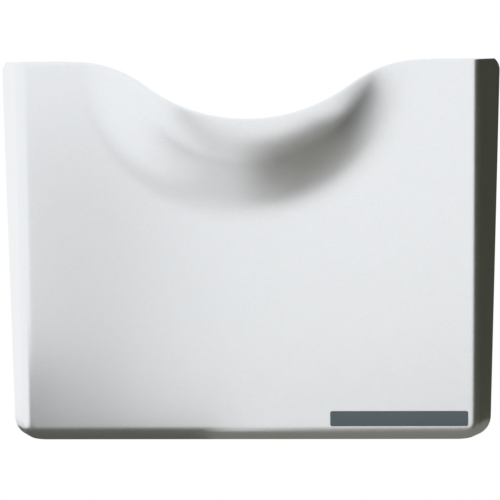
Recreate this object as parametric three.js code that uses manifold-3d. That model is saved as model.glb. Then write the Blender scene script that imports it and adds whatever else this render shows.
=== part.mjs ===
// Magnetic document pocket: an open-topped tray that clings to a steel wall and holds A4 sheets lying sideways.
// Millimetres, +Z up, +X to the right as seen from the front, the wall behind at Y = 0 and the front towards -Y.
// The origin is the middle of the rear face, half way up the front panel.
import * as THREE from "three";
import { mergeVertices } from "three/addons/utils/BufferGeometryUtils.js";
import Module from "manifold-3d";

const wasm = await Module();
wasm.setup();

// Front shell
const PANEL_HEIGHT = 248; // front panel, bottom to the flat stretches of its top edge
const DEPTH_BOTTOM = 26; // rear face to front face, at the bottom
const DEPTH_TOP = 42; // the same at the top, so the front leans out
const PANEL_HALF_WIDTH = 149.2; // to the sharp corner that the side fillet rounds off
const SIDE_FLARE = 0.4; // how far a side wall spreads outwards for each unit towards the rear
const WALL = 2.4;
const EDGE_FILLET = 9; // front panel into side and bottom walls
const CORNER_RADIUS = 13; // bottom corners, seen from the front
const TOP_CORNER_RADIUS = 8; // rear top corners, seen from the front

// Wave along the top edge of the front panel
const WAVE_HALF_WIDTH = 113;
const WAVE_DEPTH = 36.8;
const WAVE_TROUGH_RADIUS = 111; // the shoulders' arcs follow from it

// Lip that swells forwards round the wave
const LIP_RISE = 14.7;
const LIP_CENTRE_LIFT = 6.5; // centre of its circle, above the middle of the top edge
const LIP_OUTER_RADIUS = 112.7; // where the swelling starts
const LIP_CREST_RADIUS = 70.4; // arc on which it reaches its full height
const LIP_CREST_LIFT = 27.5; // that arc's centre, above the circle's
const LIP_FOOT_SHARE = 0.26; // share of the slope over which it bends up from the panel
const LIP_BROW_SHARE = 0.43; // share of the slope over which it rounds off
const LIP_FOOT_SLOPE = 0.58; // steepness above the foot, as a share of the steepness below the brow
const LIP_FADE_SINE = 0.72; // towards the shoulders it fades, from this sine of the angle down to none

// Back plate
const FLANGE = 2; // thickness of the rim that closes the shell's rear edge
const STEP = 2.2; // how far the raised middle reaches into the shell
const STEP_CLEARANCE = 0.3; // step to the shell's inner wall
const JOINT_GAP = 0.1; // glue line
const RIM_INSET = 0.4; // the rim stays this far inside the shell's outline, so the shell hides it
const PLATE_WAVE_MARGIN = 9; // the plate's wave is this much wider and lower than the panel's
const FIELD_DEPTH = 2; // two shallow fields save plastic on the rear face
const FIELD_MARGIN = 14; // field to the plate's edges and to the magnets
const FIELD_RIB = 14; // left between the two fields
const FIELD_CORNER = 6;

// Magnets, each lying on a steel yoke in a recess of the back plate
const MAGNET_WIDTH = 24;
const MAGNET_LENGTH = 52;
const MAGNET_THICKNESS = 2.2;
const MAGNET_CORNER = 2.5;
const MAGNET_CLEARANCE = 0.3;
const YOKE_THICKNESS = 0.8;
const MAGNET_TO_SIDE = 9; // to the shell's side, where it is narrowest
const MAGNET_TO_BOTTOM = 16;
const MAGNET_TO_TOP = 13;

// Label on the front panel
const LABEL_WIDTH = 90;
const LABEL_HEIGHT = 10;
const LABEL_CORNER = 1.3;
const LABEL_THICKNESS = 0.4;
const LABEL_TO_SIDE = 1; // to where the side fillet starts
const LABEL_TO_BOTTOM = 0.8; // to where the bottom fillet starts

// Fineness of the curved surfaces
const ARC_STEPS = 6;
const LIP_COLUMN_STEP = 7;
const LIP_ROW_STEP = 7;
const CUT_REACH = 20; // how far cutting tools run past what they cut

// Sizes that follow
const LEAN = (DEPTH_TOP - DEPTH_BOTTOM) / PANEL_HEIGHT;
const LEAN_ANGLE = Math.atan(LEAN);
const SHELL_REAR = FLANGE + JOINT_GAP;
const FLARE_STRETCH = Math.hypot(1, SIDE_FLARE);
const FILLET_TURN = Math.PI / 2 - Math.atan(SIDE_FLARE);
const REAR_TOP = PANEL_HEIGHT + DEPTH_TOP * LEAN; // the top edge is cut square to the leaning front
const REAR_HALF_WIDTH = outerHalfWidth(REAR_TOP, SHELL_REAR);
const PLATE_TROUGH_Z = PANEL_HEIGHT - WAVE_DEPTH - PLATE_WAVE_MARGIN;
const RECESS_DEPTH = YOKE_THICKNESS + MAGNET_THICKNESS + JOINT_GAP;
const MAGNET_X = outerHalfWidth(CORNER_RADIUS, SHELL_REAR) - MAGNET_TO_SIDE - MAGNET_WIDTH / 2;
const MAGNET_LOW_Z = MAGNET_TO_BOTTOM + MAGNET_LENGTH / 2;
const MAGNET_HIGH_Z = REAR_TOP - MAGNET_TO_TOP - MAGNET_LENGTH / 2;
const ORIGIN_HEIGHT = PANEL_HEIGHT / 2;

const silver = { color: 0xd3d6d8, roughness: 0.35, metalness: 0.55 };
const charcoal = { color: 0x34373a, roughness: 0.6, metalness: 0 };
const ferrite = { color: 0x1d1d1f, roughness: 0.75, metalness: 0 };
const zincSteel = { color: 0xa9adb2, roughness: 0.35, metalness: 1 };
const slate = { color: 0x48545c, roughness: 0.4, metalness: 0.2 };

// How far a quarter-round of this radius has pulled a wall back at a height above its lowest point.
function roundedPullBack(radius, height) {
  if (height >= radius) return 0;
  const below = radius - Math.max(height, 0);
  return radius - Math.sqrt(radius * radius - below * below);
}

// Rise from 0 to 1: it bends up over the foot, grows slowly steeper and rounds off over the brow.
function lipProfile(share) {
  const middle = 1 - LIP_FOOT_SHARE - LIP_BROW_SHARE;
  const footBend = LIP_FOOT_SLOPE / LIP_FOOT_SHARE;
  const middleBend = (1 - LIP_FOOT_SLOPE) / middle;
  const browBend = -1 / LIP_BROW_SHARE;
  const climbed = (g) => {
    const past = (start) => Math.max(g - start, 0) ** 2;
    const fromFoot = (middleBend - footBend) * past(LIP_FOOT_SHARE);
    const fromBrow = (browBend - middleBend) * past(1 - LIP_BROW_SHARE);
    return footBend * past(0) + fromFoot + fromBrow;
  };
  return climbed(THREE.MathUtils.clamp(share, 0, 1)) / climbed(1);
}

// How far the lip stands in front of the flat panel.
function lipRise(x, z) {
  const below = Math.max(PANEL_HEIGHT + LIP_CENTRE_LIFT - z, 0);
  const reach = Math.hypot(x, below);
  if (below === 0 || reach >= LIP_OUTER_RADIUS) return 0;
  const sine = below / reach;
  const lift = LIP_CREST_LIFT;
  const crest = Math.sqrt(LIP_CREST_RADIUS ** 2 - lift * lift * (1 - sine * sine)) - lift * sine;
  const inward = Math.min(sine / LIP_FADE_SINE, 1);
  const fade = inward * (2 - inward);
  return LIP_RISE * fade * lipProfile((LIP_OUTER_RADIUS - reach) / (LIP_OUTER_RADIUS - crest));
}

// Half width of the shell's outside at a height and a distance in front of the wall.
function outerHalfWidth(z, fromWall) {
  const depth = DEPTH_BOTTOM + LEAN * z;
  return PANEL_HALF_WIDTH + (depth - fromWall) * SIDE_FLARE - roundedPullBack(CORNER_RADIUS, z);
}

// One level of the shell: a closed outline in X and Y, from rear left round the front to rear right.
// inset is 0 for the outside and the wall's thickness for the inside.
function shellLevel(z, inset, rear, columns) {
  const height = z - inset;
  const frontFillet = EDGE_FILLET - inset;
  const depth = DEPTH_BOTTOM + LEAN * z - inset;
  const front = depth - roundedPullBack(frontFillet, height);
  const sideLoss = roundedPullBack(CORNER_RADIUS - inset, height) + inset * FLARE_STRETCH;
  const sideAt = (fromWall) => PANEL_HALF_WIDTH + (depth + inset - fromWall) * SIDE_FLARE - sideLoss;
  const tangent = frontFillet * Math.tan(FILLET_TURN / 2);
  const flat = sideAt(front) - tangent;
  const centreFromWall = front - frontFillet;

  const right = [];
  for (let i = 0; i <= ARC_STEPS; i++) {
    const turn = (FILLET_TURN * i) / ARC_STEPS;
    const x = flat + frontFillet * Math.sin(turn);
    const fromWall = centreFromWall + frontFillet * Math.cos(turn);
    right.push([x, -fromWall]);
  }
  right.push([sideAt(rear), -rear]);
  const left = right.map(([x, y]) => [-x, y]).reverse();
  const middle = columns.map((x) => [x, -(front + lipRise(x, z))]);
  return [...left, ...middle, ...right].map(([x, y]) => new THREE.Vector3(x, y, z));
}

// A closed skin over levels that have the same number of points.
function loft(levels) {
  const count = levels[0].length;
  const positions = levels.flat().flatMap((p) => [p.x, p.y, p.z]);
  const faces = [];
  for (let k = 0; k + 1 < levels.length; k++) {
    for (let i = 0; i < count; i++) {
      const next = (i + 1) % count;
      const [a, b, c, d] = [k * count + i, k * count + next, (k + 1) * count + next, (k + 1) * count + i];
      faces.push(a, b, c, a, c, d);
    }
  }
  const cap = (level, start, up) => {
    const flat = level.map((p) => new THREE.Vector2(p.x, p.y));
    for (const [a, b, c] of THREE.ShapeUtils.triangulateShape(flat, [])) {
      faces.push(start + a, start + (up ? b : c), start + (up ? c : b));
    }
  };
  cap(levels[0], 0, false);
  cap(levels[levels.length - 1], (levels.length - 1) * count, true);
  const geometry = new THREE.BufferGeometry();
  geometry.setAttribute("position", new THREE.Float32BufferAttribute(positions, 3));
  geometry.setIndex(faces);
  return geometry;
}

function toSolid(geometry) {
  const bare = geometry.clone();
  for (const name of Object.keys(bare.attributes)) {
    if (name !== "position") bare.deleteAttribute(name);
  }
  const merged = mergeVertices(bare, 1e-4);
  const mesh = { numProp: 3, vertProperties: merged.attributes.position.array };
  return new wasm.Manifold(new wasm.Mesh({ ...mesh, triVerts: new Uint32Array(merged.index.array) }));
}

function toGeometry(solid) {
  const { vertProperties, triVerts } = solid.getMesh();
  const geometry = new THREE.BufferGeometry();
  geometry.setAttribute("position", new THREE.BufferAttribute(new Float32Array(vertProperties), 3));
  geometry.setIndex(new THREE.BufferAttribute(new Uint32Array(triVerts), 1));
  geometry.computeVertexNormals();
  return geometry;
}

// An outline drawn in X and Z, as a slab that fills from nearFromWall to farFromWall in front of the wall.
function slab(shape, nearFromWall, farFromWall, curveSegments = ARC_STEPS) {
  const geometry = new THREE.ExtrudeGeometry(shape, {
    depth: farFromWall - nearFromWall,
    bevelEnabled: false,
    curveSegments,
  });
  return geometry.rotateX(Math.PI / 2).translate(0, -nearFromWall, 0);
}

// Points of a symmetric wave that drops from its flat shoulders to a trough in the middle, left to right.
// The trough's arc and the shoulders' arcs meet at one tangent, which fixes the sum of their radii.
function wavePoints(halfWidth, drop, trough, top) {
  const turn = 2 * Math.atan(drop / halfWidth);
  const shoulder = halfWidth / Math.sin(turn) - trough;
  const half = [];
  const steps = 2 * ARC_STEPS;
  for (let i = steps; i > 0; i--) {
    const a = (turn * i) / steps;
    half.push([trough * Math.sin(a), top - drop + trough * (1 - Math.cos(a))]);
  }
  half.reverse();
  for (let i = steps - 1; i >= 0; i--) {
    const a = (turn * i) / steps;
    half.push([halfWidth - shoulder * Math.sin(a), top - shoulder * (1 - Math.cos(a))]);
  }
  const left = half.map(([x, z]) => [-x, z]).reverse();
  return [...left, [0, top - drop], ...half];
}

// Levels of the tray: close together in the bottom's rounding and in the lip, far apart between them.
function levelHeights(base, cornerRadius, filletRadius, top) {
  const heights = [];
  for (let i = 0; i <= ARC_STEPS; i++) {
    const rise = 1 - Math.cos((Math.PI / 2) * (i / ARC_STEPS));
    heights.push(base + cornerRadius * rise);
    if (i > 0 && i < ARC_STEPS) heights.push(base + filletRadius * rise);
  }
  const lipStart = PANEL_HEIGHT + LIP_CENTRE_LIFT - LIP_OUTER_RADIUS;
  for (let z = lipStart; z < top - LIP_ROW_STEP / 2; z += LIP_ROW_STEP) heights.push(z);
  heights.push(top);
  return heights.sort((a, b) => a - b);
}

// Outside or inside of the tray, as one closed solid.
function traySolid(inset, rear, top) {
  const columns = [];
  const reach = Math.min(LIP_OUTER_RADIUS, PANEL_HALF_WIDTH - CORNER_RADIUS - EDGE_FILLET - WALL);
  const half = Math.ceil(reach / LIP_COLUMN_STEP);
  for (let i = -half; i <= half; i++) columns.push((i * reach) / half);
  const heights = levelHeights(inset, CORNER_RADIUS - inset, EDGE_FILLET - inset, top);
  return toSolid(loft(heights.map((z) => shellLevel(z, inset, rear, columns))));
}

// Everything above the front panel's top edge, cut square to the leaning front.
function topCutter() {
  const shape = new THREE.Shape();
  const alongFace = PANEL_HEIGHT * Math.hypot(1, LEAN);
  const side = REAR_HALF_WIDTH + CUT_REACH;
  shape.moveTo(-side, alongFace);
  for (const [x, z] of wavePoints(WAVE_HALF_WIDTH, WAVE_DEPTH, WAVE_TROUGH_RADIUS, alongFace)) {
    shape.lineTo(x, z);
  }
  shape.lineTo(side, alongFace);
  shape.lineTo(side, alongFace + 2 * CUT_REACH);
  shape.lineTo(-side, alongFace + 2 * CUT_REACH);
  const behind = DEPTH_TOP + CUT_REACH;
  const geometry = slab(shape, -behind, LIP_RISE + CUT_REACH).rotateX(LEAN_ANGLE);
  return toSolid(geometry.translate(0, -DEPTH_BOTTOM, 0));
}

// What lies outside the rounded rear top corner on one side. inset moves the corner inwards.
function cornerCutter(side, inset) {
  const x = REAR_HALF_WIDTH - inset;
  const top = REAR_TOP - inset;
  const radius = TOP_CORNER_RADIUS - inset;
  const shape = new THREE.Shape();
  shape.moveTo(side * (x + CUT_REACH), top - radius);
  shape.lineTo(side * x, top - radius);
  for (let i = 1; i <= ARC_STEPS; i++) {
    const a = (Math.PI / 2) * (i / ARC_STEPS);
    const [dx, dz] = [radius * (Math.cos(a) - 1), radius * (Math.sin(a) - 1)];
    shape.lineTo(side * (x + dx), top + dz);
  }
  shape.lineTo(side * (x - radius), top + CUT_REACH);
  shape.lineTo(side * (x + CUT_REACH), top + CUT_REACH);
  return toSolid(slab(shape, -CUT_REACH, DEPTH_TOP + CUT_REACH));
}

function frontShell() {
  const reach = PANEL_HEIGHT + CUT_REACH;
  return traySolid(0, SHELL_REAR, reach)
    .subtract(traySolid(WALL, -CUT_REACH, reach + CUT_REACH))
    .subtract(topCutter())
    .subtract(cornerCutter(1, 0))
    .subtract(cornerCutter(-1, 0));
}

// The tray's outline at a distance from the wall, grown all round, with the plate's wave along its top.
function plateShape(fromWall, grow) {
  const top = REAR_TOP + grow;
  const radius = CORNER_RADIUS + grow;
  const right = [];
  for (let i = 0; i <= ARC_STEPS; i++) {
    const a = (Math.PI / 2) * (i / ARC_STEPS);
    const z = radius * (1 - Math.cos(a)) - grow;
    right.push([outerHalfWidth(CORNER_RADIUS, fromWall) + grow - radius * (1 - Math.sin(a)), z]);
  }
  right.push([outerHalfWidth(top, fromWall) + grow, top]);
  const halfWave = WAVE_HALF_WIDTH + PLATE_WAVE_MARGIN;
  const wave = wavePoints(halfWave, top - PLATE_TROUGH_Z, WAVE_TROUGH_RADIUS + PLATE_WAVE_MARGIN, top).reverse();
  const left = right.map(([x, z]) => [-x, z]).reverse();
  return new THREE.Shape([...right, ...wave, ...left].map(([x, z]) => new THREE.Vector2(x, z)));
}

function magnetShape(grow) {
  const [w, h] = [MAGNET_WIDTH / 2 + grow, MAGNET_LENGTH / 2 + grow];
  return roundedRectangle(-w, -h, w, h, MAGNET_CORNER + grow);
}

function roundedRectangle(x0, z0, x1, z1, radius) {
  const shape = new THREE.Shape();
  shape.absarc(x1 - radius, z0 + radius, radius, -Math.PI / 2, 0);
  shape.absarc(x1 - radius, z1 - radius, radius, 0, Math.PI / 2);
  shape.absarc(x0 + radius, z1 - radius, radius, Math.PI / 2, Math.PI);
  shape.absarc(x0 + radius, z0 + radius, radius, Math.PI, 1.5 * Math.PI);
  return shape;
}

const magnetPlaces = [
  ["upper_left", -MAGNET_X, MAGNET_HIGH_Z],
  ["upper_right", MAGNET_X, MAGNET_HIGH_Z],
  ["lower_left", -MAGNET_X, MAGNET_LOW_Z],
  ["lower_right", MAGNET_X, MAGNET_LOW_Z],
];

// A shallow field in the plate's rear face, on one side of the middle rib.
function rearField(side) {
  const near = FIELD_RIB / 2;
  const far = MAGNET_X - MAGNET_WIDTH / 2 - FIELD_MARGIN;
  const top = PLATE_TROUGH_Z - FIELD_MARGIN;
  const [left, right] = side > 0 ? [near, far] : [-far, -near];
  const shape = roundedRectangle(left, FIELD_MARGIN, right, top, FIELD_CORNER);
  return toSolid(slab(shape, -CUT_REACH, FIELD_DEPTH));
}

// The rim closes the shell's rear edge, and the raised middle fits inside the shell's walls.
function backPlate() {
  const rim = toSolid(slab(plateShape(SHELL_REAR, -RIM_INSET), 0, FLANGE));
  const stepInset = WALL * FLARE_STRETCH + STEP_CLEARANCE;
  const step = toSolid(slab(plateShape(FLANGE + STEP, -stepInset), FLANGE / 2, FLANGE + STEP));
  let plate = rim.add(step).subtract(cornerCutter(1, RIM_INSET)).subtract(cornerCutter(-1, RIM_INSET));
  for (const [, x, z] of magnetPlaces) {
    const recess = slab(magnetShape(MAGNET_CLEARANCE), -CUT_REACH, RECESS_DEPTH).translate(x, 0, z);
    plate = plate.subtract(toSolid(recess));
  }
  for (const side of [-1, 1]) plate = plate.subtract(rearField(side));
  return plate;
}

// The label lies on the leaning front panel, near its lower right corner.
function labelGeometry() {
  const fillet = EDGE_FILLET * Math.tan(FILLET_TURN / 2);
  const right = PANEL_HALF_WIDTH - fillet - LABEL_TO_SIDE;
  const bottom = EDGE_FILLET + LABEL_TO_BOTTOM;
  const shape = roundedRectangle(right - LABEL_WIDTH, bottom, right, bottom + LABEL_HEIGHT, LABEL_CORNER);
  const geometry = slab(shape, JOINT_GAP, JOINT_GAP + LABEL_THICKNESS);
  return geometry.rotateX(LEAN_ANGLE).translate(0, -DEPTH_BOTTOM, 0);
}

function named(name, geometry, finish, x = 0, z = 0) {
  const mesh = new THREE.Mesh(geometry, new THREE.MeshStandardMaterial(finish));
  mesh.name = name;
  mesh.position.set(x, 0, z);
  return mesh;
}

const pocket = new THREE.Group();
pocket.add(named("front_shell", toGeometry(frontShell()), silver));
pocket.add(named("back_plate", toGeometry(backPlate()), charcoal));
for (const [place, x, z] of magnetPlaces) {
  const magnet = slab(magnetShape(0), 0, MAGNET_THICKNESS);
  const yoke = slab(magnetShape(0), MAGNET_THICKNESS, MAGNET_THICKNESS + YOKE_THICKNESS);
  pocket.add(named(`magnet_${place}`, magnet, ferrite, x, z));
  pocket.add(named(`yoke_plate_${place}`, yoke, zincSteel, x, z));
}
pocket.add(named("name_label", labelGeometry(), slate));
pocket.position.z = -ORIGIN_HEIGHT;

export default pocket;
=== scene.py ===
"""The magnetic document pocket, dressed for a studio picture.

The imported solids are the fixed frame. The silver front shell, the charcoal back plate, the magnets with
their steel yokes and the slate label are rebuilt here with rounded edges and worked finishes.
Sizes in the classes are millimetres, and heights in them are measured from the shell's lowest point.
Blender's own units are metres, in the frame of the solids: +Z up, the wall behind at Y = 0, the front to -Y.
"""

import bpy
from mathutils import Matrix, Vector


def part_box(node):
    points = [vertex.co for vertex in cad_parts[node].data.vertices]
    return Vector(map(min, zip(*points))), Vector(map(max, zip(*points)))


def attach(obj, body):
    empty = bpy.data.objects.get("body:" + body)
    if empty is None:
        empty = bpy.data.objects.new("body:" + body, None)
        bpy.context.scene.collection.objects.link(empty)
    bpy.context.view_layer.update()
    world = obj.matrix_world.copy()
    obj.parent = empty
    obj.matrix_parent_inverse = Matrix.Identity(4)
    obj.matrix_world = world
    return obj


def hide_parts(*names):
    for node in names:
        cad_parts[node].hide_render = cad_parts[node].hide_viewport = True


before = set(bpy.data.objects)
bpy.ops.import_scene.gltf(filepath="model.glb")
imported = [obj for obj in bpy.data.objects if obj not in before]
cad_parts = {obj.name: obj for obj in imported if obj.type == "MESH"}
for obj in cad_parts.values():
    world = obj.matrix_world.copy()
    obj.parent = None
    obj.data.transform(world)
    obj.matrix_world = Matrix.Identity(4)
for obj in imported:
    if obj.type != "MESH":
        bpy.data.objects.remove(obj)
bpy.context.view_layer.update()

import logging
import math
from abc import ABC, abstractmethod
from dataclasses import dataclass, field
from enum import Enum
from typing import ClassVar

import bmesh
import bpy
import numpy as np
from mathutils import Matrix, Vector

MM = 0.001
QUARTER_TURN = math.pi / 2
EDGE_STEPS = 4
CORNER_STEPS = 8

log = logging.getLogger("document_pocket")


class Slot(Enum):
    """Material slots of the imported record."""

    SILVER_SHELL = "silver_shell"
    CHARCOAL_PLATE = "charcoal_plate"
    FERRITE = "ferrite"
    ZINC_STEEL = "zinc_steel"
    SLATE_LABEL = "slate_label"


class Field:
    """A number in a node tree that adds Math nodes as it is used in a formula."""

    def __init__(self, tree: bpy.types.NodeTree, socket: bpy.types.NodeSocket) -> None:
        """Keeps the tree that new nodes go into and the socket that carries the number."""
        self.tree = tree
        self.socket = socket

    def _math(self, operation: str, *others: "Field | float") -> "Field":
        """Adds one Math node.

        Args:
            operation: the node's operation, such as ADD.
            others: the further inputs, as fields or plain numbers.

        Returns:
            The node's result.
        """
        node = self.tree.nodes.new("ShaderNodeMath")
        node.operation = operation
        self.tree.links.new(self.socket, node.inputs[0])
        for index, other in enumerate(others, start=1):
            if isinstance(other, Field):
                self.tree.links.new(other.socket, node.inputs[index])
            else:
                node.inputs[index].default_value = other
        return Field(self.tree, node.outputs[0])

    def __add__(self, other: "Field | float") -> "Field":
        """Returns the sum."""
        return self._math("ADD", other)

    def __sub__(self, other: "Field | float") -> "Field":
        """Returns the difference."""
        return self._math("SUBTRACT", other)

    def __mul__(self, other: "Field | float") -> "Field":
        """Returns the product."""
        return self._math("MULTIPLY", other)

    def __truediv__(self, other: "Field | float") -> "Field":
        """Returns the quotient."""
        return self._math("DIVIDE", other)

    def root(self) -> "Field":
        """Returns the square root."""
        return self._math("SQRT")

    def at_least(self, lowest: float) -> "Field":
        """Returns the number, or the lowest value allowed where it is less."""
        return self._math("MAXIMUM", lowest)

    def at_most(self, highest: float) -> "Field":
        """Returns the number, or the highest value allowed where it is more."""
        return self._math("MINIMUM", highest)


@dataclass(frozen=True)
class Finish(ABC):
    """A surface finish that makes one procedural material."""

    title: ClassVar[str] = ""

    @property
    def name(self) -> str:
        """The material's name."""
        return self.title

    @abstractmethod
    def paint(self, nodes: "ShaderNodes") -> None:
        """Adds the finish's nodes and sets the surface shader."""

    def material(self) -> bpy.types.Material:
        """Returns the finish's material, made on first use."""
        found = bpy.data.materials.get(self.name)
        if found is None:
            found = bpy.data.materials.new(self.name)
            found.use_nodes = True
            self.paint(ShaderNodes(found))
        return found


class ShaderNodes:
    """Short ways to add the shader nodes that the finishes share."""

    def __init__(self, material: bpy.types.Material) -> None:
        """Takes a new material, whose Principled shader is kept."""
        self.tree = material.node_tree
        self.surface = self.tree.nodes["Principled BSDF"]
        self.position = self.tree.nodes.new("ShaderNodeTexCoord").outputs["Object"]

    def link(self, source: bpy.types.NodeSocket, target: bpy.types.NodeSocket) -> None:
        """Joins an output to an input."""
        self.tree.links.new(source, target)

    def stretched(self, scale: tuple[float, float, float]) -> bpy.types.NodeSocket:
        """Returns object coordinates, stretched along the axes."""
        mapping = self.tree.nodes.new("ShaderNodeMapping")
        mapping.inputs["Scale"].default_value = scale
        self.link(self.position, mapping.inputs["Vector"])
        return mapping.outputs["Vector"]

    def noise(self, size_mm: float, detail: float, place: bpy.types.NodeSocket | None = None) -> Field:
        """Adds a noise texture.

        Args:
            size_mm: the width of one blotch.
            detail: how many finer layers it has.
            place: the coordinates, or None for plain object coordinates.

        Returns:
            The noise, from 0 to 1.
        """
        node = self.tree.nodes.new("ShaderNodeTexNoise")
        node.inputs["Scale"].default_value = 1 / (size_mm * MM)
        node.inputs["Detail"].default_value = detail
        self.link(place or self.position, node.inputs["Vector"])
        return Field(self.tree, node.outputs["Fac"])

    def cells(self, size_mm: float) -> bpy.types.NodeSocket:
        """Returns a random grey for each cell of the given width."""
        node = self.tree.nodes.new("ShaderNodeTexVoronoi")
        node.inputs["Scale"].default_value = 1 / (size_mm * MM)
        self.link(self.position, node.inputs["Vector"])
        grey = self.tree.nodes.new("ShaderNodeSeparateColor")
        self.link(node.outputs["Color"], grey.inputs["Color"])
        return grey.outputs["Red"]

    def between(self, share: bpy.types.NodeSocket, low: float, high: float) -> bpy.types.NodeSocket:
        """Returns a number that runs from low to high as the share runs from 0 to 1."""
        node = self.tree.nodes.new("ShaderNodeMapRange")
        node.inputs["To Min"].default_value = low
        node.inputs["To Max"].default_value = high
        self.link(share, node.inputs["Value"])
        return node.outputs["Result"]

    def blend(
        self, share: bpy.types.NodeSocket, low: tuple[float, ...], high: tuple[float, ...]
    ) -> bpy.types.NodeSocket:
        """Returns a colour that runs from low to high as the share runs from 0 to 1."""
        node = self.tree.nodes.new("ShaderNodeMix")
        node.data_type = "RGBA"
        node.inputs["A"].default_value = (*low, 1)
        node.inputs["B"].default_value = (*high, 1)
        self.link(share, node.inputs["Factor"])
        return node.outputs["Result"]

    def relief(self, height: bpy.types.NodeSocket, depth_mm: float, strength: float) -> None:
        """Gives the surface a fine relief of that depth."""
        bump = self.tree.nodes.new("ShaderNodeBump")
        bump.inputs["Strength"].default_value = strength
        bump.inputs["Distance"].default_value = depth_mm * MM
        self.link(height, bump.inputs["Height"])
        self.link(bump.outputs["Normal"], self.surface.inputs["Normal"])

    def set(self, **values: float) -> None:
        """Sets plain values on the surface shader. Underscores in the names stand for spaces."""
        for name, value in values.items():
            self.surface.inputs[name.replace("_", " ")].default_value = value


@dataclass(frozen=True)
class SatinSilver(Finish):
    """Satin silver paint with fine metal flake on moulded plastic."""

    title: ClassVar[str] = "satin_silver"
    dark_flake: tuple[float, float, float] = (0.825, 0.845, 0.865)
    light_flake: tuple[float, float, float] = (0.885, 0.905, 0.925)
    flake_mm: float = 0.35
    peel_mm: float = 1.6
    cloud_mm: float = 6.4
    smooth: float = 0.27
    rough: float = 0.33

    def paint(self, nodes: ShaderNodes) -> None:
        """Adds flake to the colour and gloss, and a slight unevenness like sprayed paint."""
        flake = nodes.cells(self.flake_mm)
        nodes.link(nodes.blend(flake, self.dark_flake, self.light_flake), nodes.surface.inputs["Base Color"])
        gloss = nodes.noise(self.cloud_mm, 3).socket
        nodes.link(nodes.between(gloss, self.smooth, self.rough), nodes.surface.inputs["Roughness"])
        nodes.set(Metallic=1.0)
        nodes.relief(nodes.noise(self.peel_mm, 2).socket, depth_mm=0.02, strength=0.25)


@dataclass(frozen=True)
class GrainedCharcoal(Finish):
    """Charcoal plastic with the fine grain of a spark-eroded mould."""

    title: ClassVar[str] = "grained_charcoal"
    dark: tuple[float, float, float] = (0.030, 0.033, 0.036)
    light: tuple[float, float, float] = (0.050, 0.054, 0.058)
    grain_mm: float = 0.45
    cloud_mm: float = 18
    smooth: float = 0.48
    rough: float = 0.66

    def paint(self, nodes: ShaderNodes) -> None:
        """Adds cloudy colour and a fine grain."""
        cloud = nodes.noise(self.cloud_mm, 3).socket
        nodes.link(nodes.blend(cloud, self.dark, self.light), nodes.surface.inputs["Base Color"])
        grain = nodes.noise(self.grain_mm, 2).socket
        nodes.link(nodes.between(grain, self.smooth, self.rough), nodes.surface.inputs["Roughness"])
        nodes.relief(grain, depth_mm=0.08, strength=0.6)


@dataclass(frozen=True)
class GroundFerrite(Finish):
    """Dull ferrite with the marks of its grinding wheel."""

    title: ClassVar[str] = "ground_ferrite"
    dark: tuple[float, float, float] = (0.016, 0.016, 0.018)
    light: tuple[float, float, float] = (0.055, 0.055, 0.06)
    streak_mm: float = 0.5
    squeeze: float = 0.04
    smooth: float = 0.4
    rough: float = 0.62

    def paint(self, nodes: ShaderNodes) -> None:
        """Adds long grinding streaks along the magnet."""
        streaks = nodes.noise(self.streak_mm, 4, nodes.stretched((1, 1, self.squeeze))).socket
        nodes.link(nodes.blend(streaks, self.dark, self.light), nodes.surface.inputs["Base Color"])
        nodes.link(nodes.between(streaks, self.rough, self.smooth), nodes.surface.inputs["Roughness"])
        nodes.set(Metallic=0.25)
        nodes.relief(streaks, depth_mm=0.05, strength=0.5)


@dataclass(frozen=True)
class ZincedSteel(Finish):
    """Sheet steel with the faint spangle of its zinc."""

    title: ClassVar[str] = "zinced_steel"
    dark: tuple[float, float, float] = (0.46, 0.48, 0.50)
    light: tuple[float, float, float] = (0.62, 0.64, 0.66)
    spangle_mm: float = 5
    smooth: float = 0.3
    rough: float = 0.42

    def paint(self, nodes: ShaderNodes) -> None:
        """Adds spangle to the colour and the gloss."""
        spangle = nodes.cells(self.spangle_mm)
        nodes.link(nodes.blend(spangle, self.dark, self.light), nodes.surface.inputs["Base Color"])
        nodes.link(nodes.between(spangle, self.smooth, self.rough), nodes.surface.inputs["Roughness"])
        nodes.set(Metallic=1.0)


@dataclass(frozen=True)
class SlateFoil(Finish):
    """Satin slate-coloured foil, finely brushed along its length."""

    title: ClassVar[str] = "slate_foil"
    dark: tuple[float, float, float] = (0.070, 0.098, 0.112)
    light: tuple[float, float, float] = (0.100, 0.130, 0.146)
    brush_mm: float = 0.3
    squeeze: float = 0.03
    smooth: float = 0.36
    rough: float = 0.5

    def paint(self, nodes: ShaderNodes) -> None:
        """Adds brush lines along the label."""
        brush = nodes.noise(self.brush_mm, 3, nodes.stretched((self.squeeze, 1, 1))).socket
        nodes.link(nodes.blend(brush, self.dark, self.light), nodes.surface.inputs["Base Color"])
        nodes.link(nodes.between(brush, self.smooth, self.rough), nodes.surface.inputs["Roughness"])
        nodes.set(Metallic=0.3)
        nodes.relief(brush, depth_mm=0.01, strength=0.3)


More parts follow.
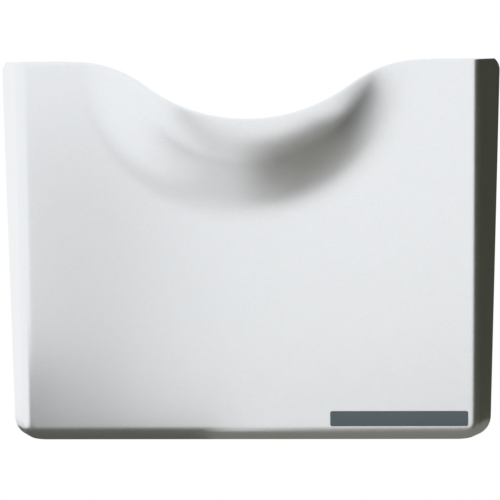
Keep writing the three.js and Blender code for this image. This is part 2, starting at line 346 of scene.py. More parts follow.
@dataclass(frozen=True)
class PaleFloor(Finish):
    """White studio floor that looks as white as the background and keeps the shadows."""

    title: ClassVar[str] = "pale_floor"
    colour: tuple[float, float, float] = (0.9, 0.9, 0.9)
    lift: float = 0.3

    def paint(self, nodes: ShaderNodes) -> None:
        """Lets the floor show as plain white in gloss, and lifts it a little where it is seen directly."""
        nodes.surface.inputs["Base Color"].default_value = (*self.colour, 1)
        nodes.surface.inputs["Emission Color"].default_value = (1, 1, 1, 1)
        nodes.set(Roughness=0.9, Specular_IOR_Level=0.0, Emission_Strength=self.lift)
        white = nodes.tree.nodes.new("ShaderNodeEmission")
        either = nodes.tree.nodes.new("ShaderNodeMixShader")
        nodes.link(seen_by(nodes.tree, "Is Glossy Ray", "Is Transmission Ray").socket, either.inputs["Fac"])
        nodes.link(nodes.surface.outputs[0], either.inputs[1])
        nodes.link(white.outputs[0], either.inputs[2])
        nodes.link(either.outputs[0], nodes.tree.nodes["Material Output"].inputs["Surface"])


@dataclass(frozen=True)
class MattCard(Finish):
    """Matt card that stands in for a darker side of the room, at an even tone."""

    tone: tuple[float, float, float]

    @property
    def name(self) -> str:
        """The material's name."""
        return "matt_card_" + "_".join(f"{round(part * 1000):03d}" for part in self.tone)

    def paint(self, nodes: ShaderNodes) -> None:
        """Sets an even tone that no lamp changes."""
        nodes.surface.inputs["Base Color"].default_value = (0, 0, 0, 1)
        nodes.surface.inputs["Emission Color"].default_value = (*self.tone, 1)
        nodes.set(Roughness=1.0, Specular_IOR_Level=0.0, Emission_Strength=1.0)


def seen_by(tree: bpy.types.NodeTree, *rays: str) -> Field:
    """Returns 1 for the kinds of ray that are named and 0 for the others."""
    path = tree.nodes.new("ShaderNodeLightPath")
    seen = Field(tree, path.outputs[rays[0]])
    for ray in rays[1:]:
        seen = seen + Field(tree, path.outputs[ray])
    return seen.at_most(1)


def mesh_object(name: str, bm: bmesh.types.BMesh, material: bpy.types.Material) -> bpy.types.Object:
    """Turns edited geometry into a linked object with its faces outwards.

    Args:
        name: the object's and mesh's name.
        bm: geometry in metres, which is freed.
        material: the piece's only material.

    Returns:
        The new object, at the origin.
    """
    bmesh.ops.recalc_face_normals(bm, faces=bm.faces)
    mesh = bpy.data.meshes.new(name)
    bm.to_mesh(mesh)
    bm.free()
    mesh.materials.append(material)
    made = bpy.data.objects.new(name, mesh)
    bpy.context.scene.collection.objects.link(made)
    return made


def shade(piece: bpy.types.Object, sharp_degrees: float = 38) -> None:
    """Smooths a piece's shading, apart from edges sharper than the given angle."""
    piece.data.shade_smooth()
    piece.data.set_sharp_from_angle(angle=math.radians(sharp_degrees))


def settle(piece: bpy.types.Object, slot: Slot, *nodes: str) -> None:
    """Puts a finished piece on the part's one body, in place of the solids that it stands for.

    Args:
        piece: the finished mesh, at the origin.
        slot: the record's material slot; not used.
        nodes: the solids that it replaces.
    """
    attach(piece, "root")
    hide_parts(*nodes)
    log.info("%s: %d faces, stands for %s", piece.name, len(piece.data.polygons), ", ".join(nodes))


class NodeRule:
    """A Geometry Nodes tree with named inputs, applied to a piece once and then removed."""

    def __init__(self, name: str) -> None:
        """Starts a tree that takes and gives geometry."""
        self.tree = bpy.data.node_groups.new(name, "GeometryNodeTree")
        self.tree.interface.new_socket("Geometry", in_out="INPUT", socket_type="NodeSocketGeometry")
        self.tree.interface.new_socket("Geometry", in_out="OUTPUT", socket_type="NodeSocketGeometry")
        self.start = self.tree.nodes.new("NodeGroupInput")
        self.end = self.tree.nodes.new("NodeGroupOutput")
        self.identifiers: dict[str, str] = {}

    def add_input(self, name: str, kind: str = "NodeSocketFloat") -> bpy.types.NodeSocket:
        """Adds a named input and returns its socket inside the tree."""
        item = self.tree.interface.new_socket(name, in_out="INPUT", socket_type=kind)
        self.identifiers[name] = item.identifier
        return self.start.outputs[name]

    def number(self, name: str) -> Field:
        """Adds a named number that is used in formulas."""
        return Field(self.tree, self.add_input(name))

    def node(self, kind: str, **inputs: bpy.types.NodeSocket | float) -> bpy.types.Node:
        """Adds a node and fills its inputs, with underscores in their names for spaces."""
        made = self.tree.nodes.new(kind)
        for name, value in inputs.items():
            socket = made.inputs[name.replace("_", " ")]
            if isinstance(value, bpy.types.NodeSocket):
                self.tree.links.new(value, socket)
            else:
                socket.default_value = value
        return made

    def finish(self, geometry: bpy.types.NodeSocket) -> None:
        """Ends the tree in real geometry with its material."""
        real = self.node("GeometryNodeRealizeInstances", Geometry=geometry)
        material = self.add_input("Material", "NodeSocketMaterial")
        dressed = self.node("GeometryNodeSetMaterial", Geometry=real.outputs[0], Material=material)
        self.tree.links.new(dressed.outputs[0], self.end.inputs[0])

    def apply(self, piece: bpy.types.Object, **values: float | bpy.types.Material) -> None:
        """Runs the tree on a piece and keeps the result as its plain mesh.

        Args:
            piece: the object to change.
            values: the inputs by name, with underscores for spaces.
        """
        modifier = piece.modifiers.new(self.tree.name, "NODES")
        modifier.node_group = self.tree
        for name, value in values.items():
            modifier[self.identifiers[name.replace("_", " ")]] = value
        graph = bpy.context.evaluated_depsgraph_get()
        plain = bpy.data.meshes.new_from_object(piece.evaluated_get(graph), depsgraph=graph)
        piece.modifiers.remove(modifier)
        worn = piece.data
        piece.data = plain
        plain.name = piece.name
        bpy.data.meshes.remove(worn)


@dataclass(frozen=True)
class PocketForm:
    """The form that the pieces share: leaning panel, flared sides and the wave along the top."""

    panel_height: float = 248.0
    depth_bottom: float = 26.0
    depth_top: float = 42.0
    panel_half_width: float = 149.2
    side_flare: float = 0.4
    edge_fillet: float = 9.0
    corner_radius: float = 13.0
    top_corner_radius: float = 8.0
    rear_gap: float = 2.1
    wave_half_width: float = 113.0
    wave_depth: float = 36.8
    wave_trough_radius: float = 111.0

    @property
    def lean(self) -> float:
        """How far the panel comes forwards for each millimetre of height."""
        return (self.depth_top - self.depth_bottom) / self.panel_height

    @property
    def flare_stretch(self) -> float:
        """Length along a flared side for each millimetre of depth."""
        return math.hypot(1, self.side_flare)

    @property
    def fillet_turn(self) -> float:
        """Angle that the fillet turns through between the panel and a side."""
        return QUARTER_TURN - math.atan(self.side_flare)

    @property
    def rear_top(self) -> float:
        """Height of the top edge at the rear, as it is cut square to the panel."""
        return self.panel_height + self.depth_top * self.lean

    @property
    def rear_half_width(self) -> float:
        """Half width at the top of the shell's rear edge."""
        return float(self.half_width(self.rear_top, self.rear_gap))

    @staticmethod
    def pull_back(radius: float, height: np.ndarray | float) -> np.ndarray:
        """How far a quarter-round has pulled a wall back at a height above its lowest point."""
        below = radius - np.clip(height, 0, radius)
        return radius - np.sqrt(np.maximum(radius * radius - below * below, 0))

    def half_width(self, z: np.ndarray | float, from_wall: np.ndarray | float) -> np.ndarray:
        """Half width of the shell's outside at a height and a distance from the wall."""
        depth = self.depth_bottom + self.lean * z
        loss = self.pull_back(self.corner_radius, z)
        return self.panel_half_width + (depth - from_wall) * self.side_flare - loss

    def wave_drop(self, x: np.ndarray, half_width: float, depth: float, trough: float) -> np.ndarray:
        """How far a wave's edge lies under its flat shoulders.

        Args:
            x: places across the wave.
            half_width: from the middle to where the shoulders are flat.
            depth: from the shoulders to the lowest point.
            trough: radius of the arc in the middle; the shoulders' arcs are tangent to it.

        Returns:
            The drop at each place.
        """
        turn = 2 * math.atan(depth / half_width)
        shoulder = half_width / math.sin(turn) - trough
        across = np.abs(x)
        inner = depth - trough + np.sqrt(np.maximum(trough**2 - across**2, 0))
        beside = np.clip(half_width - across, 0, shoulder)
        outer = shoulder - np.sqrt(shoulder**2 - beside**2)
        return np.where(across < trough * math.sin(turn), inner, outer)

    def top_edge(self, x: np.ndarray, from_wall: np.ndarray) -> np.ndarray:
        """Height of the shell's top edge at a place, with the rounded rear corners."""
        drop = self.wave_drop(x, self.wave_half_width, self.wave_depth, self.wave_trough_radius)
        on_panel = self.panel_height - drop / math.hypot(1, self.lean)
        panel_depth = self.depth_bottom + self.lean * on_panel
        edge = on_panel + (panel_depth - from_wall) * self.lean
        radius = self.top_corner_radius
        past = np.clip(np.abs(x) - (self.rear_half_width - radius), 0, radius)
        corner = self.rear_top - radius + np.sqrt(radius**2 - past**2)
        return np.where(past > 0, np.minimum(edge, corner), edge)


@dataclass
class FrontShell:
    """The silver tray: leaning panel with the wave and its lip, flared sides and the bottom."""

    form: PocketForm
    base: float
    wall: float = 2.4
    rim_round: float = 0.9
    lip_rise: float = 14.7
    lip_centre_lift: float = 6.5
    lip_outer_radius: float = 112.7
    lip_crest_radius: float = 70.4
    lip_crest_lift: float = 27.5
    lip_foot_share: float = 0.26
    lip_brow_share: float = 0.43
    lip_foot_slope: float = 0.58
    lip_fade_sine: float = 0.72
    panel_columns: int = 76
    fillet_columns: int = 12
    side_columns: int = 18
    low_rows: int = 12
    high_rows: int = 105
    rim_rows: int = 5
    edge_passes: int = 12
    finish: Finish = field(default_factory=SatinSilver)

    def place(self, z: np.ndarray, inset: float) -> tuple[np.ndarray, np.ndarray]:
        """Places of the right half's columns at the given heights.

        Args:
            z: heights, one row of values for each column.
            inset: how far under the outer surface.

        Returns:
            The distances from the middle and from the wall.
        """
        form = self.form
        fillet = form.edge_fillet - inset
        depth = form.depth_bottom + form.lean * z
        front = depth - inset - form.pull_back(fillet, z - inset)
        loss = form.pull_back(form.corner_radius - inset, z - inset) + inset * form.flare_stretch

        def side(from_wall: np.ndarray | float) -> np.ndarray:
            """Half width at a distance from the wall."""
            return form.panel_half_width + (depth - from_wall) * form.side_flare - loss

        flat = side(front) - fillet * math.tan(form.fillet_turn / 2)
        a, b = self.panel_columns, self.panel_columns + self.fillet_columns
        across = np.empty_like(z)
        from_wall = np.empty_like(z)
        share = (np.arange(a) / a)[:, None]
        across[:a], from_wall[:a] = share * flat[:a], front[:a]
        turn = (np.linspace(0, form.fillet_turn, b - a))[:, None]
        across[a:b] = flat[a:b] + fillet * np.sin(turn)
        from_wall[a:b] = front[a:b] - fillet + fillet * np.cos(turn)
        share = np.sin(QUARTER_TURN * np.arange(1, self.side_columns + 1) / self.side_columns)[:, None]
        start_x = flat[b:] + fillet * math.sin(form.fillet_turn)
        start_depth = front[b:] - fillet + fillet * math.cos(form.fillet_turn)
        from_wall[b:] = start_depth + (form.rear_gap - start_depth) * share
        across[b:] = start_x + (side(form.rear_gap)[b:] - start_x) * share
        return across, from_wall

    def column_tops(self, inset: float) -> np.ndarray:
        """Height of the top edge on each column of the right half, under the outer surface by inset."""
        columns = self.panel_columns + self.fillet_columns + self.side_columns
        top = np.full((columns, 1), self.form.panel_height)
        for _ in range(self.edge_passes):
            top = self.form.top_edge(*self.place(top, inset))
        return top

    def wall_rows(self, inset: float) -> np.ndarray:
        """Points of one wall surface, from the bottom to where the rim's rounding starts."""
        form = self.form
        low = 1 - np.cos(QUARTER_TURN * np.arange(self.low_rows) / self.low_rows)
        bottom = inset + (form.corner_radius - inset) * low
        top = self.column_tops(inset) - self.rim_round
        high = form.corner_radius + (top - form.corner_radius) * np.linspace(0, 1, self.high_rows)
        z = np.hstack([np.repeat(bottom[None, :], len(top), axis=0), high])
        return np.stack([*self.place(z, inset), z], axis=-1)

    def rim_points(self) -> np.ndarray:
        """Points of the rounded rim between the outer and the inner surface."""
        turns = QUARTER_TURN * np.arange(1, self.rim_rows + 1) / self.rim_rows
        rounding = [(self.rim_round * (1 - math.cos(a)), self.rim_round * (1 - math.sin(a))) for a in turns]
        rows = []
        for inset, drop in rounding + [(self.wall - inset, drop) for inset, drop in reversed(rounding)]:
            z = self.column_tops(inset) - drop
            rows.append(np.stack([*self.place(z, inset), z], axis=-1))
        return np.concatenate(rows, axis=1)

    def plain_tray(self) -> bpy.types.Object:
        """Builds the tray with a flat panel, as one closed mesh."""
        sheet = [self.wall_rows(0), self.rim_points(), self.wall_rows(self.wall)[:, ::-1]]
        right = np.concatenate(sheet, axis=1)
        left = right[:0:-1] * (-1, 1, 1)
        grid = np.concatenate([left, right]) * (1, -1, 1) * MM + (0, 0, self.base)
        columns, rows = grid.shape[:2]
        bm = bmesh.new()
        verts = [[bm.verts.new(point) for point in column] for column in grid.tolist()]
        for here, there in zip(verts, verts[1:]):
            for k in range(rows - 1):
                bm.faces.new((here[k], here[k + 1], there[k + 1], there[k]))
        for edge in (verts[0], verts[-1]):
            for k in range(rows // 2 - 1):
                bm.faces.new((edge[k], edge[k + 1], edge[rows - 2 - k], edge[rows - 1 - k]))
        bm.faces.new([column[0] for column in verts])
        bm.faces.new([column[-1] for column in verts])
        bm.faces.new((verts[0][0], verts[-1][0], verts[-1][-1], verts[0][-1]))
        log.info("tray grid: %d columns of %d points", columns, rows)
        return mesh_object("front_shell_tray", bm, self.finish.material())

    @staticmethod
    def lip_rule() -> NodeRule:
        """Makes the tree that swells the panel forwards round the wave.

        The swelling starts on a circle round the middle of the panel's top edge and reaches its full height
        on a second circle, whose centre lies higher. Between them it bends up over its foot, grows slowly
        steeper and rounds off over its brow. Towards the shoulders of the wave it fades away.

        Returns:
            The rule, with its sizes as inputs.
        """
        rule = NodeRule("lip_round_the_wave")
        rise, outer = rule.number("Rise"), rule.number("Outer Radius")
        crest_radius, lift = rule.number("Crest Radius"), rule.number("Crest Lift")
        top, lean = rule.number("Circle Height"), rule.number("Lean")
        foot, brow = rule.number("Foot Share"), rule.number("Brow Share")
        foot_slope, fade_sine = rule.number("Foot Slope"), rule.number("Fade Sine")
        place = rule.node("GeometryNodeInputPosition").outputs[0]
        parts = rule.node("ShaderNodeSeparateXYZ", Vector=place)
        x = Field(rule.tree, parts.outputs["X"])
        below = (top - Field(rule.tree, parts.outputs["Z"])).at_least(0)
        reach = (x * x + below * below).root().at_least(1e-6)
        sine = below / reach
        crest = (crest_radius * crest_radius - lift * lift * (sine * sine * -1 + 1)).root() - lift * sine
        share = ((outer - reach) / (outer - crest)).at_least(0).at_most(1)

        def square_past(start: Field | float) -> Field:
            """Square of how far the share is past a start, and 0 before it."""
            past = (share - start).at_least(0)
            return past * past

        middle = (foot + brow) * -1 + 1
        foot_bend = foot_slope / foot
        middle_bend = (foot_slope * -1 + 1) / middle
        climbed = foot_bend * square_past(0) + (middle_bend - foot_bend) * square_past(foot)
        climbed = climbed - middle_bend * square_past(brow * -1 + 1)
        climbed = climbed - square_past(brow * -1 + 1) / brow
        full = foot * foot_slope + middle * (foot_slope + 1) + brow
        inward = (sine / fade_sine).at_most(1)
        fade = inward * (inward * -1 + 2)
        forwards = climbed / full * rise * fade
        move = rule.node("ShaderNodeCombineXYZ")
        rule.tree.links.new((forwards * -1).socket, move.inputs["Y"])
        rule.tree.links.new((forwards * lean * -1).socket, move.inputs["Z"])
        moved = rule.node("GeometryNodeSetPosition", Geometry=rule.start.outputs[0], Offset=move.outputs[0])
        rule.finish(moved.outputs[0])
        return rule

    def build(self) -> bpy.types.Object:
        """Builds the tray, swells its lip and settles it on the body."""
        shell = self.plain_tray()
        self.lip_rule().apply(
            shell,
            Rise=self.lip_rise * MM,
            Outer_Radius=self.lip_outer_radius * MM,
            Crest_Radius=self.lip_crest_radius * MM,
            Crest_Lift=self.lip_crest_lift * MM,
            Circle_Height=(self.form.panel_height + self.lip_centre_lift) * MM + self.base,
            Lean=self.form.lean,
            Foot_Share=self.lip_foot_share,
            Brow_Share=self.lip_brow_share,
            Foot_Slope=self.lip_foot_slope,
            Fade_Sine=self.lip_fade_sine,
            Material=self.finish.material(),
        )
        shade(shell)
        settle(shell, Slot.SILVER_SHELL, "front_shell")
        return shell


def moved_in(loop: np.ndarray, distance: float) -> np.ndarray:
    """Moves a closed outline inwards.

    Args:
        loop: the outline's points, counter-clockwise.
        distance: how far each side moves; negative moves it outwards.

    Returns:
        The moved points, as many as before.
    """
    ahead = np.roll(loop, -1, axis=0) - loop
    ahead /= np.linalg.norm(ahead, axis=1)[:, None]
    behind = np.roll(ahead, 1, axis=0)
    normals = np.stack([-(ahead + behind)[:, 1], (ahead + behind)[:, 0]], axis=1)
    stretch = 2 / np.sum((ahead + behind) ** 2, axis=1)[:, None]
    return loop + normals * stretch * distance


def rounded_rectangle(x0: float, z0: float, x1: float, z1: float, radius: float) -> np.ndarray:
    """Outline of a rectangle with rounded corners, counter-clockwise."""
    left, right, bottom, top = x0 + radius, x1 - radius, z0 + radius, z1 - radius
    centres = ((right, bottom), (right, top), (left, top), (left, bottom))
    points = []
    for corner, (x, z) in enumerate(centres):
        for step in range(CORNER_STEPS + 1):
            turn = QUARTER_TURN * (corner - 1 + step / CORNER_STEPS)
            points.append((x + radius * math.cos(turn), z + radius * math.sin(turn)))
    return np.array(points)


class Relief:
    """A closed mesh raised from flat outlines, for plates, magnets and labels."""

    def __init__(self, to_frame: Matrix) -> None:
        """Takes the map from outline places and depths, in millimetres, to the frame."""
        self.bm = bmesh.new()
        self.to_frame = to_frame

    def ring(self, loop: np.ndarray, depth: float) -> list[bmesh.types.BMVert]:
        """Adds an outline's points at a depth in front of the outline's plane."""
        return [self.bm.verts.new(self.to_frame @ Vector((x, -depth, z))) for x, z in loop.tolist()]

    def walls(self, profile: list[tuple[np.ndarray, float]]) -> tuple[list, list]:
        """Joins outlines of equally many points by walls.

        Args:
            profile: each outline with its depth, in order.

        Returns:
            The first and the last ring.
        """
        rings = [self.ring(loop, depth) for loop, depth in profile]
        for low, high in zip(rings, rings[1:]):
            for k, vert in enumerate(low):
                after = (k + 1) % len(low)
                self.bm.faces.new((vert, low[after], high[after], high[k]))
        return rings[0], rings[-1]

    def cap(self, *rings: list[bmesh.types.BMVert]) -> None:
        """Fills the area inside the first ring and outside the others."""
        if len(rings) == 1:
            self.bm.faces.new(rings[0])
            return
        edges = [self.bm.edges.get((ring[k - 1], ring[k])) for ring in rings for k in range(len(ring))]
        bmesh.ops.triangle_fill(self.bm, use_beauty=True, edges=edges)


def rounded_profile(
    loop: np.ndarray, near: float, far: float, radius: float
) -> list[tuple[np.ndarray, float]]:
    """Profile of a slab with both edges rounded.

    Args:
        loop: the slab's outline.
        near: depth at which it starts.
        far: depth at which it ends.
        radius: of both edges.

    Returns:
        Outlines with their depths, from near to far.
    """
    turns = [QUARTER_TURN * k / EDGE_STEPS for k in range(EDGE_STEPS + 1)]
    bends = [(radius * (1 - math.sin(a)), radius * (1 - math.cos(a))) for a in turns]
    start = [(moved_in(loop, inwards), near + along) for inwards, along in bends]
    end = [(moved_in(loop, inwards), far - along) for inwards, along in reversed(bends)]
    return start + end


@dataclass
class MagnetPlaces:
    """Where the four magnets sit, and their common outline."""

    form: PocketForm
    width: float = 24.0
    length: float = 52.0
    corner: float = 2.5
    to_side: float = 9.0
    to_bottom: float = 16.0
    to_top: float = 13.0

    @property
    def column(self) -> float:
        """Distance of the magnets from the middle."""
        form = self.form
        return float(form.half_width(form.corner_radius, form.rear_gap)) - self.to_side - self.width / 2

    @property
    def low(self) -> float:
        """Height of the lower magnets' middles."""
        return self.to_bottom + self.length / 2

    @property
    def high(self) -> float:
        """Height of the upper magnets' middles."""
        return self.form.rear_top - self.to_top - self.length / 2

    def outline(self, grow: float, x: float = 0, z: float = 0) -> np.ndarray:
        """Outline of a magnet, or of its recess, round a place."""
        half_width, half_length = self.width / 2 + grow, self.length / 2 + grow
        corner = self.corner + grow
        return rounded_rectangle(x - half_width, z - half_length, x + half_width, z + half_length, corner)


@dataclass
class BackPlate:
    """The charcoal plate that closes the shell's rear edge and holds the magnets."""

    form: PocketForm
    magnets: MagnetPlaces
    to_frame: Matrix
    flange: float = 2.0
    step: float = 2.2
    wall: float = 2.4
    step_clearance: float = 0.3
    rim_inset: float = 0.4
    wave_margin: float = 9.0
    recess_depth: float = 3.1
    recess_clearance: float = 0.3
    field_depth: float = 2.0
    field_margin: float = 14.0
    field_rib: float = 14.0
    field_corner: float = 6.0
    edge_round: float = 0.4
    mouth_round: float = 0.25
    step_corner: float = 1.6
    corner_points: int = 15
    wave_points: int = 40
    finish: Finish = field(default_factory=GrainedCharcoal)

    def outline(self, from_wall: float, grow: float, top_radius: float) -> np.ndarray:
        """Outline of the plate, counter-clockwise from its lower right corner.

        Args:
            from_wall: depth at which the shell's width is taken.
            grow: how far outside the shell's outline it runs.
            top_radius: of the ears' outer corners.

        Returns:
            Places across and up.
        """
        form = self.form
        top = form.rear_top + grow
        radius = form.corner_radius + grow
        turns = QUARTER_TURN * np.linspace(0, 1, self.corner_points)
        side = float(form.half_width(form.corner_radius, from_wall)) + grow
        corner = np.stack([side - radius * (1 - np.sin(turns)), radius * (1 - np.cos(turns)) - grow], axis=1)
        ear_side = float(form.half_width(top, from_wall)) + grow
        ear = np.stack(
            [ear_side - top_radius * (1 - np.cos(turns)), top - top_radius * (1 - np.sin(turns))], axis=1
        )
        half_wave = form.wave_half_width + self.wave_margin
        depth = top - (form.panel_height - form.wave_depth - self.wave_margin)
        across = half_wave * np.cos(np.linspace(0, QUARTER_TURN, self.wave_points, endpoint=False))
        drop = form.wave_drop(across, half_wave, depth, form.wave_trough_radius + self.wave_margin)
        wave = np.stack([across, top - drop], axis=1)
        right = np.concatenate([corner, ear, wave])
        left = right[::-1] * (-1, 1)
        middle = np.array([[0.0, top - depth]])
        return np.concatenate([right, middle, left])

    def fields(self) -> list[np.ndarray]:
        """Outlines of the two shallow fields in the rear face."""
        near = self.field_rib / 2
        far = self.magnets.column - self.magnets.width / 2 - self.field_margin
        form = self.form
        top = form.panel_height - form.wave_depth - self.wave_margin - self.field_margin
        return [
            rounded_rectangle(left, self.field_margin, right, top, self.field_corner)
            for left, right in ((near, far), (-far, -near))
        ]

    def hollow(self, relief: Relief, loop: np.ndarray, depth: float) -> list[bmesh.types.BMVert]:
        """Sinks a hollow with a softened mouth into the rear face and returns the ring of its mouth."""
        soft = self.mouth_round
        mouth, floor = relief.walls([(moved_in(loop, -soft), 0), (loop, soft), (loop, depth)])
        relief.cap(floor)
        return mouth

    def build(self) -> bpy.types.Object:
        """Builds the plate with its rim, step, recesses and fields."""
        form, magnets = self.form, self.magnets
        relief = Relief(self.to_frame)
        rim = self.outline(form.rear_gap, -self.rim_inset, form.top_corner_radius - self.rim_inset)
        inset = self.wall * form.flare_stretch + self.step_clearance
        front = self.flange + self.step
        step = self.outline(front, -inset, self.step_corner)
        profile = rounded_profile(rim, 0, self.flange, self.edge_round) + [(step, self.flange)]
        profile += rounded_profile(step, self.flange, front, self.edge_round)[EDGE_STEPS + 1 :]
        rear, face = relief.walls(profile)
        relief.cap(face)
        mouths = [
            self.hollow(relief, magnets.outline(self.recess_clearance, x, z), self.recess_depth)
            for x in (-magnets.column, magnets.column)
            for z in (magnets.low, magnets.high)
        ]
        mouths += [self.hollow(relief, loop, self.field_depth) for loop in self.fields()]
        relief.cap(rear, *mouths)
        plate = mesh_object("back_plate_grained", relief.bm, self.finish.material())
        shade(plate)
        settle(plate, Slot.CHARCOAL_PLATE, "back_plate")
        return plate


@dataclass
class MagnetSet:
    """Four ferrite magnets, each lying on a steel yoke in its recess."""

    places: MagnetPlaces
    to_frame: Matrix
    thickness: float = 2.2
    yoke_thickness: float = 0.8
    chamfer: float = 0.3
    yoke_edge: float = 0.1

    @staticmethod
    def grid_rule() -> NodeRule:
        """Makes the tree that sets copies of a piece at the corners of an upright rectangle."""
        rule = NodeRule("upright_grid")
        width, height = rule.add_input("Column Spacing"), rule.add_input("Row Spacing")
        middle = rule.number("Middle Height")
        grid = rule.node("GeometryNodeMeshGrid", Size_X=width, Size_Y=height, Vertices_X=2, Vertices_Y=2)
        place = rule.node("ShaderNodeCombineXYZ", Z=middle.socket)
        upright = (QUARTER_TURN, 0.0, 0.0)
        turned = rule.node("GeometryNodeTransform", Geometry=grid.outputs["Mesh"], Rotation=upright)
        raised = rule.node("GeometryNodeTransform", Geometry=turned.outputs[0], Translation=place.outputs[0])
        piece = rule.start.outputs[0]
        copies = rule.node("GeometryNodeInstanceOnPoints", Points=raised.outputs[0], Instance=piece)
        rule.finish(copies.outputs[0])
        return rule

    def block(self, name: str, near: float, far: float, edge: float, finish: Finish) -> bpy.types.Object:
        """Builds one softened block round the middle of the frame, between two depths."""
        relief = Relief(Matrix.Scale(MM, 4))
        first, last = relief.walls(rounded_profile(self.places.outline(0), near, far, edge))
        relief.cap(first)
        relief.cap(last)
        return mesh_object(name, relief.bm, finish.material())

    def build(self) -> list[bpy.types.Object]:
        """Builds the magnets and the yokes, four of each."""
        rule = self.grid_rule()
        places = self.places
        middle = self.to_frame @ Vector((0, 0, (places.low + places.high) / 2))
        yoke_far = self.thickness + self.yoke_thickness
        kinds = (
            ("magnets", "magnet", 0.0, self.thickness, self.chamfer, GroundFerrite(), Slot.FERRITE),
            ("yokes", "yoke_plate", self.thickness, yoke_far, self.yoke_edge, ZincedSteel(), Slot.ZINC_STEEL),
        )
        made = []
        for name, node, near, far, edge, finish, slot in kinds:
            piece = self.block(name, near, far, edge, finish)
            rule.apply(
                piece,
                Column_Spacing=2 * places.column * MM,
                Row_Spacing=(places.high - places.low) * MM,
                Middle_Height=middle.z,
                Material=finish.material(),
            )
            shade(piece)
            corners = [f"{node}_{row}_{side}" for row in ("upper", "lower") for side in ("left", "right")]
            settle(piece, slot, *corners)
            made.append(piece)
        return made


@dataclass
class NameLabel:
    """The bare slate label near the panel's lower right corner."""

    form: PocketForm
    to_frame: Matrix
    width: float = 90.0
    height: float = 10.0
    corner: float = 1.3
    glue: float = 0.1
    thickness: float = 0.4
    to_side: float = 1.0
    to_bottom: float = 0.8
    edge_round: float = 0.15
    finish: Finish = field(default_factory=SlateFoil)

    def build(self) -> bpy.types.Object:
        """Builds the label on the leaning panel."""
        form = self.form
        right = form.panel_half_width - form.edge_fillet * math.tan(form.fillet_turn / 2) - self.to_side
        bottom = form.edge_fillet + self.to_bottom
        loop = rounded_rectangle(right - self.width, bottom, right, bottom + self.height, self.corner)
        forwards = Matrix.Translation((0, -form.depth_bottom, 0))
        leaning = forwards @ Matrix.Rotation(math.atan(form.lean), 4, "X")
        relief = Relief(self.to_frame @ leaning)
        profile = rounded_profile(loop, self.glue, self.glue + self.thickness, self.edge_round)
        first, last = relief.walls(profile)
        relief.cap(first)
        relief.cap(last)
        label = mesh_object("name_label_foil", relief.bm, self.finish.material())
        shade(label)
        settle(label, Slot.SLATE_LABEL, "name_label")
        return label


@dataclass(frozen=True)
class Card:
    """A flat card beside the object, between two opposite corners in metres, with its tone."""

    name: str
    low: tuple[float, float, float]
    high: tuple[float, float, float]
    tone: tuple[float, float, float] = (1.0, 1.0, 1.0)

    @property
    def corners(self) -> list[Vector]:
        """The card's four corners in order; it lies across the one axis in which low and high agree."""
        low, high = Vector(self.low), Vector(self.high)
        flat = next(axis for axis in range(3) if low[axis] == high[axis])
        first, second = (axis for axis in range(3) if axis != flat)
        corners = [low.copy(), low.copy(), high.copy(), high.copy()]
        corners[1][first] = high[first]
        corners[3][first] = low[first]
        return corners


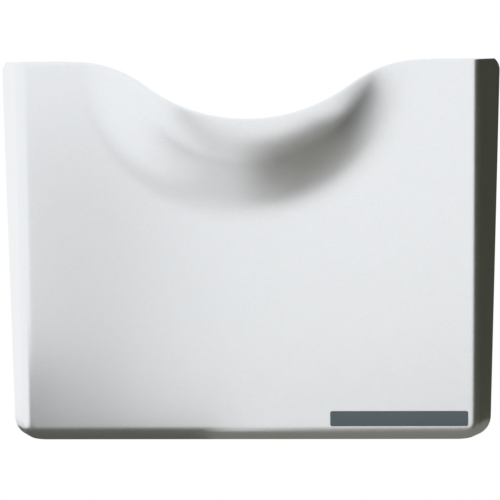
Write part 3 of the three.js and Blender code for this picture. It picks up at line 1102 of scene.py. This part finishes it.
@dataclass
class Studio:
    """Pale floor, white surroundings, one soft lamp, matt cards and the camera."""

    azimuth: float = 2.008
    elevation: float = 2.538
    roll: float = -0.351
    distance: float = 1.2437
    aim: tuple[float, float, float] = (0.0, -0.020, 0.0012)
    lens: float = 136.4
    sensor: float = 36.0
    floor_height: float = -0.7
    floor_size: float = 4.0
    fill_light: float = 0.8
    lamp_place: tuple[float, float, float] = (-1.1, -1.2, 1.2)
    lamp_size: float = 1.2
    lamp_power: float = 4.0
    cards: tuple[Card, ...] = (
        Card("card_right", (0.641, -0.833, -0.682), (0.641, 1.404, 0.774), (0.043, 0.043, 0.029)),
        Card("card_below", (-0.255, -0.211, -0.175), (-0.032, 0.749, -0.175), (0.079, 0.079, 0.063)),
        Card("card_below_middle", (-0.086, -0.106, -0.204), (0.424, 0.781, -0.204), (0.173, 0.17, 0.142)),
        Card("card_below_right", (-0.04, -1.541, -0.689), (1.522, 0.956, -0.689), (0.186, 0.18, 0.156)),
        Card("card_front_left", (-0.266, -0.74, -0.643), (-0.148, -0.74, 0.008), (0.483, 0.483, 0.483)),
        Card("card_low_left", (-0.294, -0.201, -0.6), (-0.13, -0.201, -0.112), (0.42, 0.42, 0.43)),
        Card("card_left_behind", (-0.852, 0.19, -0.492), (-0.852, 1.29, -0.314), (0.757, 0.757, 0.757)),
    )

    def camera(self) -> None:
        """Sets the camera at the picture's viewing angle."""
        azimuth, elevation, roll = (math.radians(a) for a in (self.azimuth, self.elevation, self.roll))
        level = math.cos(elevation)
        ahead = Vector((-math.sin(azimuth) * level, math.cos(azimuth) * level, -math.sin(elevation)))
        turn = ahead.to_track_quat("-Z", "Y").to_matrix().to_4x4() @ Matrix.Rotation(roll, 4, "Z")
        lens = bpy.data.cameras.new("camera")
        lens.lens = self.lens
        lens.sensor_width = self.sensor
        view = bpy.data.objects.new("camera", lens)
        view.matrix_world = Matrix.Translation(Vector(self.aim) - ahead * self.distance) @ turn
        bpy.context.scene.collection.objects.link(view)
        bpy.context.scene.camera = view

    def sheet(self, name: str, corners: list[Vector], finish: Finish) -> bpy.types.Object:
        """Builds a flat sheet between four corners."""
        bm = bmesh.new()
        bm.faces.new([bm.verts.new(corner) for corner in corners])
        sheet = mesh_object(name, bm, finish.material())
        return sheet

    def lamp(self) -> None:
        """Hangs a soft square lamp that points at the object's middle and doesn't show in gloss."""
        light = bpy.data.lights.new("key_lamp", "AREA")
        light.size = self.lamp_size
        light.energy = self.lamp_power
        hung = bpy.data.objects.new("key_lamp", light)
        hung.location = self.lamp_place
        hung.rotation_euler = (-Vector(self.lamp_place)).to_track_quat("-Z", "Y").to_euler()
        hung.visible_glossy = False
        bpy.context.scene.collection.objects.link(hung)

    def surroundings(self) -> None:
        """Makes the world white where it is seen, directly or in gloss, and a little weaker as a light."""
        world = bpy.data.worlds.new("surroundings")
        world.use_nodes = True
        bpy.context.scene.world = world
        tree = world.node_tree
        light = tree.nodes["Background"]
        light.inputs["Color"].default_value = (1, 1, 1, 1)
        seen = seen_by(tree, "Is Camera Ray", "Is Glossy Ray", "Is Transmission Ray")
        strength = seen * (1 - self.fill_light) + self.fill_light
        tree.links.new(strength.socket, light.inputs["Strength"])

    def build(self) -> None:
        """Sets up the whole studio. The cards show in gloss alone."""
        self.camera()
        half = self.floor_size / 2
        ground = Card("floor", (-half, -half, self.floor_height), (half, half, self.floor_height))
        self.sheet(ground.name, ground.corners, PaleFloor())
        for card in self.cards:
            sheet = self.sheet(card.name, card.corners, MattCard(card.tone))
            sheet.visible_camera = sheet.visible_diffuse = sheet.visible_shadow = False
        self.lamp()
        self.surroundings()
        bpy.context.scene.view_settings.view_transform = "Standard"
        log.info("studio: floor, %d cards, one lamp and the camera", len(self.cards))


def main() -> None:
    """Builds the pocket's pieces in order, then the studio."""
    logging.basicConfig(level=logging.INFO, format="%(name)s: %(message)s")
    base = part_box("front_shell")[0].z
    to_frame = Matrix.Translation((0, 0, base)) @ Matrix.Scale(MM, 4)
    form = PocketForm()
    magnets = MagnetPlaces(form)
    FrontShell(form, base).build()
    BackPlate(form, magnets, to_frame).build()
    MagnetSet(magnets, to_frame).build()
    NameLabel(form, to_frame).build()
    Studio().build()


if __name__ == "__main__":
    main()
